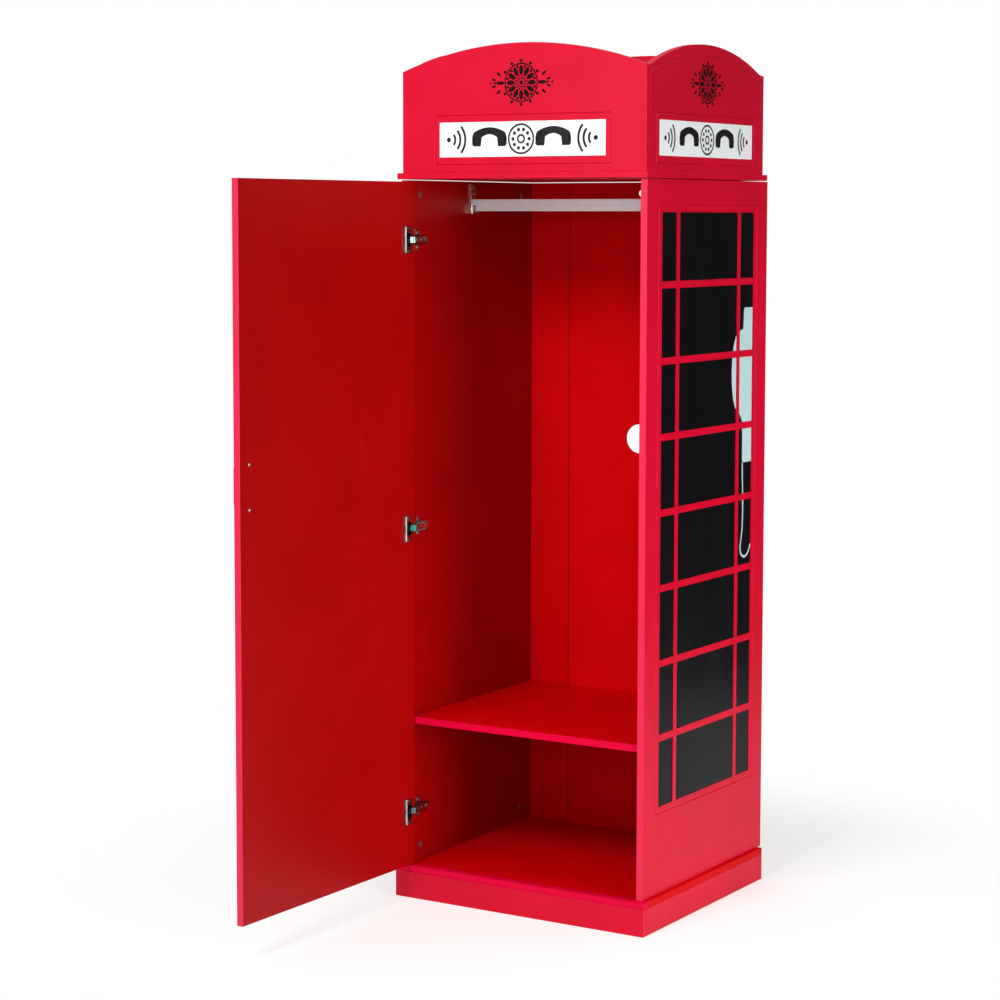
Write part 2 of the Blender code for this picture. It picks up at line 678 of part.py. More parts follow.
def build_handle(panel, x, outer):
    """A bow handle outside the door, and the two screws that hold it through the door."""
    half = HANDLE_PITCH / 2
    bend, steps = 0.012, 5
    reach = outer - HANDLE_OUT + HANDLE_R
    foot = outer - GAP
    angles = [math.pi / 2 * i / steps for i in range(steps + 1)]
    low = [(x, reach + bend * (1 - math.sin(a)), HANDLE_Z - half + bend * (1 - math.cos(a)))
           for a in angles]
    high = [(px, py, 2 * HANDLE_Z - pz) for px, py, pz in reversed(low)]
    points = [(x, foot, HANDLE_Z - half)] + low + high + [(x, foot, HANDLE_Z + half)]
    bow = wire("door_handle", points, HANDLE_R, RED, resolution=2)
    made = [bow]
    for name, sign in (("lower", -1), ("upper", 1)):
        z = HANDLE_Z + sign * half
        hole = (x, outer + BOARD / 2, z)
        cut(panel, drum("hole", hole, 0.0025, BOARD + 0.01, "Y", cutter=True, sides=12))
        cut(bow, drum("hole", (x, outer - 0.004, z), 0.0025, 0.012, "Y", cutter=True,
                      sides=12))
        screw = drum("handle_screw_" + name, (x, outer + BOARD / 2 - 0.003, z), 0.0020,
                     BOARD + 0.006, "Y", NICKEL, sides=12)
        head = drum("head", (x, DOOR_FACE + GAP + 0.0011, z), 0.0042, 0.0022, "Y",
                    cutter=True, sides=20)
        neck = drum("neck", (x, DOOR_FACE, z), 0.0020, 0.002, "Y", cutter=True, sides=12)
        made.append(join(screw, neck, head))
    return made


def build_door_and_hinges():
    """The door, links, arms and plates, with the door and links turned to the open pose."""
    door_parts = build_door()
    link_parts = [build_link(name, z) for name, z in zip(HINGE_NAMES, HINGE_Z)]
    for name, z in zip(HINGE_NAMES, HINGE_Z):
        build_arm(name, z)
        build_plate(name, z)
    link_pivot = pivot("link_pivot", ARM_PIN)
    hang(link_pivot, *link_parts)
    link_pivot.rotation_euler.z = -LINK_TURN
    door_pivot = pivot("door_pivot", CUP_PIN_SHUT)
    hang(door_pivot, *door_parts)
    door_pivot.location = (*CUP_PIN_OPEN, 0.0)
    door_pivot.rotation_euler.z = -DOOR_OPEN
    bpy.context.view_layer.update()


def main():
    """Builds every piece and shades the round ones."""
    build_plinth()
    build_side("left", -1)
    build_side("right", 1)
    build_back()
    build_shelf_and_top()
    build_crown()
    build_rail()
    build_door_and_hinges()
    for obj in PARTS.objects:
        if obj.type == "MESH":
            obj.data.shade_smooth()
            obj.data.set_sharp_from_angle(angle=math.radians(30))


main()
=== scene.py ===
"""Finishes, hardware and printed graphics of a wardrobe in the shape of a telephone box.

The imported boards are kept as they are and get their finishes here. The rail, the door
handle, the cam locks and every screw are made again in detail, and the printed graphics
are added as fine films on the boards and the panes.
"""

import json
import logging
import math
from dataclasses import dataclass
from enum import Enum
from typing import Any, Callable, Optional, Sequence, Union

import bpy
import numpy as np
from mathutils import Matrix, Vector


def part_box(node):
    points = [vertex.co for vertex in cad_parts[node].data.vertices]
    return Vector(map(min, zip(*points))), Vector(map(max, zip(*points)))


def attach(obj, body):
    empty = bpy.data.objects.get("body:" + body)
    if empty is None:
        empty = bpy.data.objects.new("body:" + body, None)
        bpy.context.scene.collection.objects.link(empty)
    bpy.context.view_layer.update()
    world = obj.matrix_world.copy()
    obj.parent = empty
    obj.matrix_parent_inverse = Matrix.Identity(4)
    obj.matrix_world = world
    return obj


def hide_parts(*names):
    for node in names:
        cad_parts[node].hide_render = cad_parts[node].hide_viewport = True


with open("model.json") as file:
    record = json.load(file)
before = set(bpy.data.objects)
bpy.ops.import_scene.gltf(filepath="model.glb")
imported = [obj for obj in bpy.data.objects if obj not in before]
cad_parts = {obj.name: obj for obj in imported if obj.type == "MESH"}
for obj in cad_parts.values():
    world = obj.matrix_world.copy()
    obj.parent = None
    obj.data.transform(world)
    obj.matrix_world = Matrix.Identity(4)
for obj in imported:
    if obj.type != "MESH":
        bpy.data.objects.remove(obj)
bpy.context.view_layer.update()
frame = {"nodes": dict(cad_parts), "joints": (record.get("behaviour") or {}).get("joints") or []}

logging.basicConfig(level=logging.INFO, format="%(name)s: %(message)s")
LOG = logging.getLogger("wardrobe")

Array = np.ndarray
Number = Union[int, float]


class Body(Enum):
    """The bodies that pieces ride on."""

    CARCASS = "carcass"
    DOOR = "door"


class Axis(Enum):
    """Ways that a flat graphic or a screw head can face."""

    FRONT = (0.0, -1.0, 0.0)
    RIGHT = (1.0, 0.0, 0.0)
    LEFT = (-1.0, 0.0, 0.0)


# ---------------------------------------------------------------- shader maths
class Socket:
    """A node's output that takes part in arithmetic; each operation adds a Math node."""

    def __init__(self, shader: "Nodes", link: bpy.types.NodeSocket) -> None:
        """Wraps one output.

        Args:
            shader: the tree that the node belongs to.
            link: the output itself.
        """
        self.shader = shader
        self.link = link

    def _math(self, operation: str, first: Any, second: Any = 0.0) -> "Socket":
        """Adds a Math node for two operands and returns its value."""
        return self.shader.node("ShaderNodeMath", {"operation": operation},
                                {0: first, 1: second})

    def __add__(self, other: Any) -> "Socket":
        """Sum."""
        return self._math("ADD", self, other)

    __radd__ = __add__

    def __sub__(self, other: Any) -> "Socket":
        """Difference."""
        return self._math("SUBTRACT", self, other)

    def __rsub__(self, other: Any) -> "Socket":
        """Difference from a number."""
        return self._math("SUBTRACT", other, self)

    def __mul__(self, other: Any) -> "Socket":
        """Product."""
        return self._math("MULTIPLY", self, other)

    __rmul__ = __mul__

    def __truediv__(self, other: Any) -> "Socket":
        """Quotient."""
        return self._math("DIVIDE", self, other)

    def __rtruediv__(self, other: Any) -> "Socket":
        """A number over this value."""
        return self._math("DIVIDE", other, self)

    def above(self, low: float, high: float) -> "Socket":
        """Rises smoothly from 0 at low to 1 at high."""
        return self.shader.node("ShaderNodeMapRange", {"interpolation_type": "SMOOTHSTEP"},
                                {0: self, 1: low, 2: high})


class Nodes:
    """A node tree under construction."""

    def __init__(self, tree: bpy.types.NodeTree) -> None:
        """Works on one tree."""
        self.tree = tree

    def node(self, kind: str, settings: dict[str, Any], inputs: dict[Any, Any],
             output: Union[int, str] = 0) -> Socket:
        """Adds a node.

        Args:
            kind: the node's type.
            settings: attributes set first.
            inputs: values or sockets, by input index or name.
            output: which output to return.

        Returns:
            The chosen output.
        """
        made = self.tree.nodes.new(kind)
        for key, value in settings.items():
            setattr(made, key, value)
        for key, value in inputs.items():
            if isinstance(value, Socket):
                self.tree.links.new(value.link, made.inputs[key])
            else:
                made.inputs[key].default_value = value
        return Socket(self, made.outputs[output])


class Shader(Nodes):
    """A material under construction, with one Principled BSDF."""

    def __init__(self, name: str, constants: dict[str, Any]) -> None:
        """Starts a material.

        Args:
            name: the material's name.
            constants: shader inputs that are the same all over the surface.
        """
        self.material = bpy.data.materials.new(name)
        self.material.use_nodes = True
        super().__init__(self.material.node_tree)
        self.surface = self.tree.nodes["Principled BSDF"]
        for key, value in constants.items():
            self.surface.inputs[key].default_value = value
        self.place = self.node("ShaderNodeTexCoord", {}, {}, "Object")

    def stretched(self, scale: Sequence[float], turn: Sequence[float] = (0, 0, 0)) -> Socket:
        """Object coordinates scaled, and turned, along each axis."""
        return self.node("ShaderNodeMapping", {},
                         {"Vector": self.place, "Scale": scale, "Rotation": turn})

    def noise(self, scale: float, detail: float = 3.0, rough: float = 0.5,
              place: Optional[Socket] = None) -> Socket:
        """Smooth noise from 0 to 1 at a number of cells per metre."""
        return self.node("ShaderNodeTexNoise", {},
                         {"Vector": place or self.place, "Scale": scale, "Detail": detail,
                          "Roughness": rough})

    def cells(self, scale: float) -> Socket:
        """Distance to the nearest of scattered points."""
        return self.node("ShaderNodeTexVoronoi", {"feature": "F1"},
                         {"Vector": self.place, "Scale": scale}, "Distance")

    def axis(self, index: int) -> Socket:
        """The x, y or z of the place, by index, in metres."""
        return self.node("ShaderNodeSeparateXYZ", {}, {0: self.place}, index)

    def size_of(self, value: Socket) -> Socket:
        """A value without its sign."""
        return self.node("ShaderNodeMath", {"operation": "ABSOLUTE"}, {0: value})

    def height(self) -> Socket:
        """Height above the floor, in metres."""
        return self.axis(2)

    def blend(self, factor: Any, first: Sequence[float], second: Any) -> Socket:
        """Mixes two colours; either may be a socket."""
        inputs = {0: factor}
        for index, colour in ((6, first), (7, second)):
            inputs[index] = colour if isinstance(colour, Socket) else (*colour, 1.0)
        return self.node("ShaderNodeMix", {"data_type": "RGBA"}, inputs, 2)

    def bump(self, height: Socket, strength: float, depth: float,
             below: Optional[Socket] = None) -> Socket:
        """A bump of a given depth in metres, on top of an earlier one."""
        inputs = {"Height": height, "Strength": strength, "Distance": depth}
        if below:
            inputs["Normal"] = below
        return self.node("ShaderNodeBump", {}, inputs)

    def wire(self, **links: Socket) -> bpy.types.Material:
        """Links values to the shader's inputs, with _ for a space, and ends the material."""
        for key, value in links.items():
            self.tree.links.new(value.link, self.surface.inputs[key.replace("_", " ")])
        return self.material


# ---------------------------------------------------------------- finishes
@dataclass(frozen=True)
class Lacquer:
    """Sprayed satin lacquer on fibreboard: a slight mottle, orange peel, scuffs and dust, and
    where asked painted shade on inner faces and painted highlights on edges.
    """

    name: str
    colour: tuple[float, float, float]
    deep: tuple[float, float, float]
    rough: float = 0.40
    peel: float = 0.35
    dust: float = 0.05
    gloss: float = 0.22
    inner: Optional[Callable[[Shader], Socket]] = None
    inner_shade_tone: float = 0.60
    seams: Optional[Callable[[Shader], Socket]] = None
    edges: Optional[Callable[[Shader], Socket]] = None
    edge_highlight_colour: tuple[float, float, float] = (0.75, 0.022, 0.075)

    def make(self) -> bpy.types.Material:
        """Colour mottles between two reds; peel is fine noise; scuffs are narrow streaks.

        Where inner is given it marks the faces turned to the inside of the cabinet.
        Their colour is toned down as a stand-in for the shade in there, and edges are
        toned up as a stand-in for their highlights; the coat itself is the same.
        """
        s = Shader(self.name, {"Specular IOR Level": self.gloss, "Coat Roughness": 0.3})
        mottle = s.noise(5.0, 4.0, 0.55)
        grain = s.noise(900.0, 2.0, 0.6)
        streaks = s.noise(30.0, 3.0, 0.6, s.stretched((1.0, 1.0, 0.05), (0.3, 0.2, 0.0)))
        scuff = s.noise(55.0, 5.0, 0.7, s.stretched((1.0, 1.0, 0.12), (0.7, 0.5, 0.3)))
        scuff = scuff.above(0.66, 0.74)
        specks = 1 - s.cells(160.0).above(0.05, 0.09)
        tone = mottle * 0.7 + grain * 0.3
        colour = s.blend(tone.above(0.3, 0.7), self.deep, self.colour)
        # Painted shade: on the inner faces both reds are darkened by a factor and lose their
        # blue, standing in for the shade inside the cabinet.
        if self.inner:
            shaded_reds = [tuple(c * self.inner_shade_tone for c in shade[:2]) + (0.001,)
                    for shade in (self.deep, self.colour)]
            inner = s.blend(tone.above(0.3, 0.7), *shaded_reds)
            colour = s.blend(self.inner(s), colour, inner)
        pale = (0.78, 0.12, 0.16)
        colour = s.blend(scuff * 0.05 + specks * self.dust, colour, pale)
        # Painted highlight: the marked edges are toned paler, standing in for the light that
        # they catch.
        if self.edges:
            colour = s.blend(self.edges(s), colour, self.edge_highlight_colour)
        if self.seams:
            colour = s.blend(self.seams(s), colour, (0.05, 0.004, 0.004))
        rough = mottle * 0.08 + streaks * 0.07 + scuff * 0.10 + grain * 0.04 + (self.rough
                                                                             - 0.10)
        peel = s.bump(s.noise(420.0, 2.0, 0.45), self.peel, 0.00006)
        waves = s.bump(s.noise(28.0, 2.0, 0.4), 0.25, 0.00025, peel)
        coat = 1 - scuff * 0.6
        return s.wire(Base_Color=colour, Roughness=rough, Normal=waves,
                      Coat_Weight=coat * 0.03)


@dataclass(frozen=True)
class PanePrint:
    """Black gloss film on a pane, with lint, faint smears, and a little paler towards the
    bottom.
    """

    name: str = "pane_black"

    def make(self) -> bpy.types.Material:
        """Smears raise the roughness; lint is scattered pale specks."""
        s = Shader(self.name, {"Specular IOR Level": 0.12, "Coat Roughness": 0.12})
        smear = s.noise(9.0, 5.0, 0.65, s.stretched((1.0, 1.0, 0.35), (0.4, 0.0, 0.0)))
        # The black is a little paler towards the bottom.
        low_paleness = 1 - s.height().above(0.25, 1.2)
        lint = 1 - s.cells(140.0).above(0.04, 0.07)
        base = s.blend(low_paleness * 0.8 + smear * 0.2, (0.0035, 0.0030, 0.0035),
                       (0.006, 0.0065, 0.008))
        base = s.blend(lint * 0.10, base, (0.25, 0.25, 0.26))
        fine = s.noise(700.0, 2.0, 0.5)
        return s.wire(Base_Color=base, Roughness=smear.above(0.35, 0.75) * 0.12 + 0.24,
                      Normal=s.bump(fine, 0.12, 0.00004),
                      Coat_Weight=(1 - smear.above(0.5, 0.8)) * 0.05)


@dataclass(frozen=True)
class Film:
    """A printed or cut film: an even colour with ink density that wanders a little."""

    name: str
    colour: tuple[float, float, float]
    shade: tuple[float, float, float]
    rough: float = 0.4
    specular: float = 0.3

    def make(self) -> bpy.types.Material:
        """Density is a fine noise over a slow one; the film has a slight tooth."""
        s = Shader(self.name, {"Specular IOR Level": self.specular})
        slow = s.noise(14.0, 3.0, 0.5)
        fine = s.noise(1500.0, 2.0, 0.5)
        density = slow * 0.6 + fine * 0.4
        return s.wire(Base_Color=s.blend(density.above(0.3, 0.75), self.colour, self.shade),
                      Roughness=density * 0.16 + (self.rough - 0.08),
                      Normal=s.bump(fine, 0.2, 0.00003))


@dataclass(frozen=True)
class Metal:
    """A bare or plated metal, brushed along one axis if it has a grain, with painted shade in
    its hollows where asked.
    """

    name: str
    colour: tuple[float, float, float]
    shade: tuple[float, float, float]
    rough: float
    grain: tuple[float, float, float] = (1.0, 1.0, 1.0)
    depth: float = 0.00003
    metallic: float = 1.0
    well_shade: Optional[Callable[[Shader], Socket]] = None

    def make(self) -> bpy.types.Material:
        """Brush lines are noise stretched along the grain; plating clouds are slow noise."""
        s = Shader(self.name, {"Metallic": self.metallic})
        lines = s.noise(800.0, 3.0, 0.6, s.stretched(self.grain))
        cloud = s.noise(60.0, 4.0, 0.6)
        pits = 1 - s.cells(900.0).above(0.08, 0.2)
        colour = s.blend(cloud.above(0.3, 0.75) * 0.7 + lines * 0.3, self.colour, self.shade)
        # Painted shade: inside the cup hollows the colour goes near black, standing in for the
        # shade in them.
        if self.well_shade:
            colour = s.blend(self.well_shade(s), colour, (0.010, 0.006, 0.008))
        return s.wire(Base_Color=colour,
                      Roughness=cloud * 0.10 + lines * 0.10 + pits * 0.08
                      + (self.rough - 0.10),
                      Normal=s.bump(lines, 0.4, self.depth))


@dataclass(frozen=True)
class StudioFloor:
    """The pale seamless floor."""

    name: str = "studio_floor"
    fade: tuple[float, float] = (0.75, 1.35)

    def make(self) -> bpy.types.Material:
        """Matt white, a little brighter to the eye, that thins out to nothing.

        The floor is whole up to the first distance from the middle and gone at the
        second, so that it runs into the white surroundings without a horizon.
        """
        s = Shader(self.name, {"Specular IOR Level": 0.1, "Roughness": 0.9})
        plain = s.blend(s.noise(1.5), (0.74, 0.74, 0.745), (0.76, 0.76, 0.76))
        seen = s.node("ShaderNodeLightPath", {}, {}, "Is Camera Ray")
        plain = s.blend(seen, plain, (0.55, 0.55, 0.55))
        s.wire(Base_Color=plain)
        glow = s.node("ShaderNodeEmission", {}, {"Strength": seen * 0.50})
        body = Socket(s, s.surface.outputs[0])
        lit = s.node("ShaderNodeAddShader", {}, {0: body, 1: glow})
        clear = s.node("ShaderNodeBsdfTransparent", {}, {})
        away = s.node("ShaderNodeVectorMath", {"operation": "LENGTH"}, {0: s.place}, "Value")
        mixed = s.node("ShaderNodeMixShader", {}, {0: away.above(*self.fade) * seen, 1: lit,
                                                   2: clear})
        s.tree.links.new(mixed.link, s.tree.nodes["Material Output"].inputs[0])
        return s.material


def inside_of_sides(shader: Shader) -> Socket:
    """1 on a side board's inner half: nearer the middle plane than its outer face. Painted shade
    goes there.
    """
    return 1 - shader.size_of(shader.axis(0)).above(0.3016, 0.3022)


def back_seams(shader: Shader) -> Socket:
    """1 on the open joints between the three back boards, on both sides of the middle."""
    joint = (low_high("back_panel_centre")[1][0] + low_high("back_panel_right")[0][0]) / 2
    gap = shader.size_of(shader.size_of(shader.axis(0)) - joint)
    return (1 - gap.above(0.0006, 0.0012)) * shader.axis(1).above(0.2, 0.25)


def front_edges(shader: Shader) -> Socket:
    """1 on the side boards' front edges, where a painted highlight goes."""
    front = low_high("side_panel_right")[0][1]
    return 1 - shader.axis(1).above(front + 0.0003, front + 0.0012)


def board_fronts(shader: Shader) -> Socket:
    """1 on the front edges of the shelf and the base board, where a painted highlight goes."""
    front = low_high("shelf")[0][1]
    return 1 - shader.axis(1).above(front + 0.0005, front + 0.0012)


def free_edge(shader: Shader) -> Socket:
    """1 on the door's free edge, far enough along from the hinges. A painted highlight goes
    there.
    """
    place = DoorPlace()
    along = shader.node("ShaderNodeVectorMath", {"operation": "DOT_PRODUCT"},
                        {0: shader.place, 1: tuple(place.along)}, "Value")
    end = float(place.at(place.width, 0.0, 0.0) @ place.along)
    return along.above(end - 0.0014, end - 0.0004)


def cup_well_shade(shader: Shader) -> Socket:
    """1 inside the round hollows of the three hinge cups, by distance from each axis. Painted
    shade goes there.
    """
    place = DoorPlace()
    inside = 0.0
    for name in ("lower", "middle", "upper"):
        low, high = low_high("hinge_cup_" + name)
        centre = place.at(0.0225, 0.0, (low[2] + high[2]) / 2)
        offset = shader.node("ShaderNodeVectorMath", {"operation": "SUBTRACT"},
                             {0: shader.place, 1: tuple(centre)})
        flat = shader.node("ShaderNodeVectorMath", {"operation": "PROJECT"},
                           {0: offset, 1: tuple(place.inward)})
        radial = shader.node("ShaderNodeVectorMath", {"operation": "SUBTRACT"},
                             {0: offset, 1: flat})
        away = shader.node("ShaderNodeVectorMath", {"operation": "LENGTH"}, {0: radial},
                           "Value")
        inside = (1 - away.above(0.0155, 0.0170)) + inside
    return inside


def inside_of_door(shader: Shader) -> Socket:
    """1 on the door's inner face: far enough along the way that this face looks. Painted shade
    goes there.
    """
    place = DoorPlace()
    height = shader.node("ShaderNodeVectorMath", {"operation": "DOT_PRODUCT"},
                         {0: shader.place, 1: tuple(place.inward)}, "Value")
    face = float(place.at(0.0, 0.0, 0.0) @ place.inward)
    return height.above(face - 0.0009, face - 0.0004)


class Paint:
    """Every finish in the object, made once."""

    def __init__(self) -> None:
        """Makes the materials."""
        red, deep = (0.68, 0.0005, 0.028), (0.58, 0.0003, 0.020)
        self.shell = Lacquer("red_lacquer_outside", red, deep).make()
        # Painted shade and painted highlight: the side boards and the door are toned darker on
        # their inner faces and paler on their edges.
        self.sides = Lacquer("red_lacquer_sides", red, deep, inner=inside_of_sides,
                             inner_shade_tone=0.55, edges=front_edges).make()
        self.door = Lacquer("red_lacquer_door", red, deep, inner=inside_of_door,
                            edges=free_edge).make()
        # Painted highlight: the front edges of the shelf and the base board are toned paler.
        self.inside = Lacquer("red_lacquer_inside", (0.66, 0.0003, 0.003),
                              (0.57, 0.0002, 0.002), rough=0.46, dust=0.02,
                              gloss=0.05, seams=back_seams, edges=board_fronts,
                              edge_highlight_colour=(0.70, 0.001, 0.040)).make()
        self.bars = Lacquer("red_lacquer_bars", red, deep, rough=0.36, peel=0.2).make()
        self.handle = Lacquer("red_enamel", (0.66, 0.001, 0.02), deep, rough=0.28,
                              peel=0.15, gloss=0.5).make()
        self.pane = PanePrint().make()
        self.sign = Film("sign_white", (0.88, 0.92, 0.92), (0.94, 0.96, 0.96), 0.38).make()
        self.aqua = Film("graphic_aqua", (0.46, 0.66, 0.67), (0.50, 0.70, 0.71),
                         0.45, 0.2).make()
        self.ink = Film("ink_black", (0.006, 0.005, 0.006), (0.012, 0.011, 0.012)).make()
        self.stencil = Film("ink_dark_red", (0.012, 0.001, 0.003), (0.022, 0.002, 0.005),
                            0.5, 0.1).make()
        self.aluminium = Metal("aluminium_extruded", (0.80, 0.90, 0.96), (0.90, 0.97, 1.0),
                               0.46, (0.004, 1.0, 1.0), metallic=0.1).make()
        self.nickel = Metal("nickel_plate", (0.52, 0.51, 0.48), (0.66, 0.65, 0.62),
                            0.26).make()
        # Painted shade: the hollows of the hinge cups are painted near black.
        self.cup = Metal("nickel_cup", (0.34, 0.30, 0.29), (0.48, 0.44, 0.42), 0.28,
                         well_shade=cup_well_shade).make()
        self.blued = Metal("nickel_blued", (0.10, 0.20, 0.20), (0.26, 0.34, 0.34),
                           0.24).make()
        self.teal = Metal("nickel_teal", (0.008, 0.17, 0.16), (0.02, 0.25, 0.23),
                          0.35, metallic=0.35).make()
        # Painted highlight: the cup lips are real, but their nickel is paler, pinker and less
        # metallic than the plate's, standing in for the light that they catch.
        self.lip = Metal("nickel_lip_painted_highlight", (0.62, 0.52, 0.52), (0.74, 0.64, 0.64), 0.45,
                         metallic=0.2).make()
        self.screw = Metal("screw_steel", (0.46, 0.45, 0.43), (0.60, 0.59, 0.57), 0.30).make()
        self.zinc = Metal("zinc_cast", (0.30, 0.29, 0.28), (0.42, 0.41, 0.40), 0.46,
                          depth=0.00008).make()
        self.floor = StudioFloor().make()


# ---------------------------------------------------------------- surfaces
class Surface:
    """Gathers closed grids into one mesh."""

    def __init__(self) -> None:
        """Starts empty."""
        self.points: list[Array] = []
        self.faces: list[Array] = []
        self.caps: list[list[int]] = []
        self.count = 0

    def tube(self, rings: Array) -> None:
        """Adds a closed tube.

        Rings are joined around and along, and both ends get a flat cap. A tube that
        would come out inside out, by the sign of its volume, is turned over.

        Args:
            rings: points, shaped stations x sides x 3.
        """
        stations, sides = rings.shape[:2]
        order = np.arange(stations * sides).reshape(stations, sides)
        after = np.roll(order, -1, axis=1)
        quads = np.stack([order[:-1], after[:-1], after[1:], order[1:]], -1).reshape(-1, 4)
        flat = rings.reshape(-1, 3)
        first, last = order[0][::-1], order[-1]
        middle = flat.mean(0)
        a, b, c, d = (flat[quads[:, i]] - middle for i in range(4))
        volume = (np.einsum("ij,ij->i", a, np.cross(b, c)).sum()
                  + np.einsum("ij,ij->i", a, np.cross(c, d)).sum())
        if volume < 0:
            quads, first, last = quads[:, ::-1], first[::-1], last[::-1]
        self.faces.append(quads + self.count)
        self.caps.append((first + self.count).tolist())
        self.caps.append((last + self.count).tolist())
        self.points.append(flat)
        self.count += len(flat)

    def make(self, name: str, material: bpy.types.Material,
             smooth: float = 35.0) -> bpy.types.Object:
        """Turns the grids into an object.

        Args:
            name: the piece's name.
            material: its finish.
            smooth: edges sharper than this many degrees stay sharp.

        Returns:
            The object, at the origin, with its place in its mesh.
        """
        mesh = bpy.data.meshes.new(name)
        faces = [face for grid in self.faces for face in grid.tolist()] + self.caps
        mesh.from_pydata(np.concatenate(self.points).tolist(), [], faces)
        mesh.validate()
        mesh.shade_smooth()
        mesh.set_sharp_from_angle(angle=math.radians(smooth))
        mesh.materials.append(material)
        obj = bpy.data.objects.new(name, mesh)
        bpy.context.scene.collection.objects.link(obj)
        return obj


@dataclass(frozen=True)
class Plane:
    """A flat place to lay a film on: (u, v, w) is right, up and out of the surface."""

    origin: tuple[float, float, float]
    out: tuple[float, float, float]

    def at(self, u: Array, v: Array, w: Array) -> Array:
        """Points for whole arrays of u, v and w. Right is up crossed with out."""
        out = np.array(self.out)
        up = np.array((0.0, 0.0, 1.0))
        right = np.cross(up, out)
        u, v, w = np.broadcast_arrays(u, v, w)
        return (np.array(self.origin) + u[..., None] * right + v[..., None] * up
                + w[..., None] * out)


@dataclass(frozen=True)
class FilmLayer:
    """A fine film on a plane, built from strips between two edges."""

    plane: Plane
    base: float = 0.00004
    thick: float = 0.00012

    def strip(self, surface: Surface, left: Array, right: Array) -> None:
        """Adds the film between two edges.

        The section at each station is a rectangle: from the left edge to the right
        one, and from the film's underside to its top.

        Args:
            surface: gathers the film.
            left: (u, v) of one edge, n x 2.
            right: (u, v) of the other edge, n x 2.
        """
        edges = np.stack([left, right, right, left], 1)
        levels = self.base + self.thick * np.array([0.0, 0.0, 1.0, 1.0])
        surface.tube(self.plane.at(edges[..., 0], edges[..., 1], levels[None, :]))

    def ribbon(self, surface: Surface, path: Array, widths: Array) -> None:
        """Adds a film of given widths along a line of (u, v) points."""
        slope = np.gradient(path, axis=0)
        slope /= np.linalg.norm(slope, axis=1, keepdims=True)
        side = np.stack([-slope[:, 1], slope[:, 0]], 1) * np.asarray(widths)[:, None] / 2
        self.strip(surface, path + side, path - side)

    def ring(self, surface: Surface, centre: Sequence[float], inner: float, outer: float,
             start: float, end: float, steps: int = 24) -> None:
        """Adds part of a ring between two radii and two angles in degrees."""
        a = np.radians(np.linspace(start, end, steps))
        spoke = np.stack([np.cos(a), np.sin(a)], 1)
        self.strip(surface, centre + outer * spoke, centre + inner * spoke)

    def dot(self, surface: Surface, centre: Sequence[float], radius: float,
            squash: float = 1.0, turn: float = 0.0, point: float = 1.0) -> None:
        """Adds an oval, or a petal if point is under 1.

        Half widths follow sin(t) to the power 1 / point along the long way, which
        runs as cos(t) from one end to the other.
        """
        t = np.linspace(0.04, math.pi - 0.04, 15)
        along = -np.cos(t) * radius
        half = np.sin(t) ** (1 / point) * radius * squash
        c, s = math.cos(turn), math.sin(turn)
        spin = np.array([[c, s], [-s, c]])
        left = np.stack([along, half], 1) @ spin + centre
        right = np.stack([along, -half], 1) @ spin + centre
        self.strip(surface, left, right)


def smooth_line(points: Sequence[Sequence[float]], count: int) -> Array:
    """A line through given points, evened out.

    Each coordinate is a piecewise straight function of the distance along the chain,
    sampled evenly and then averaged with its neighbours eight times, ends held.
    """
    knots = np.array(points, float)
    steps = np.linalg.norm(np.diff(knots, axis=0), axis=1)
    where = np.concatenate([[0.0], np.cumsum(steps)])
    line = np.stack([np.interp(np.linspace(0, where[-1], count), where, knots[:, i])
                     for i in range(knots.shape[1])], 1)
    for _ in range(8):
        line[1:-1] = (line[:-2] + 2 * line[1:-1] + line[2:]) / 4
    return line


def sweep(path: Array, section: Callable[[Array], Array], side: Sequence[float]) -> Array:
    """Carries a section along a flat path.

    Args:
        path: points of the middle line, n x 3.
        section: gives the (a, b) outline for fractions along the path, n x sides x 2.
        side: the direction square to the plane that the path lies in.

    Returns:
        Rings: path + a * side + b * (side crossed with the path's direction).
    """
    ahead = np.gradient(path, axis=0)
    ahead /= np.linalg.norm(ahead, axis=1, keepdims=True)
    across = np.array(side, float)
    other = np.cross(across, ahead)
    outline = section(np.linspace(0, 1, len(path)))
    return (path[:, None] + outline[..., :1] * across + outline[..., 1:]
            * other[:, None, :])


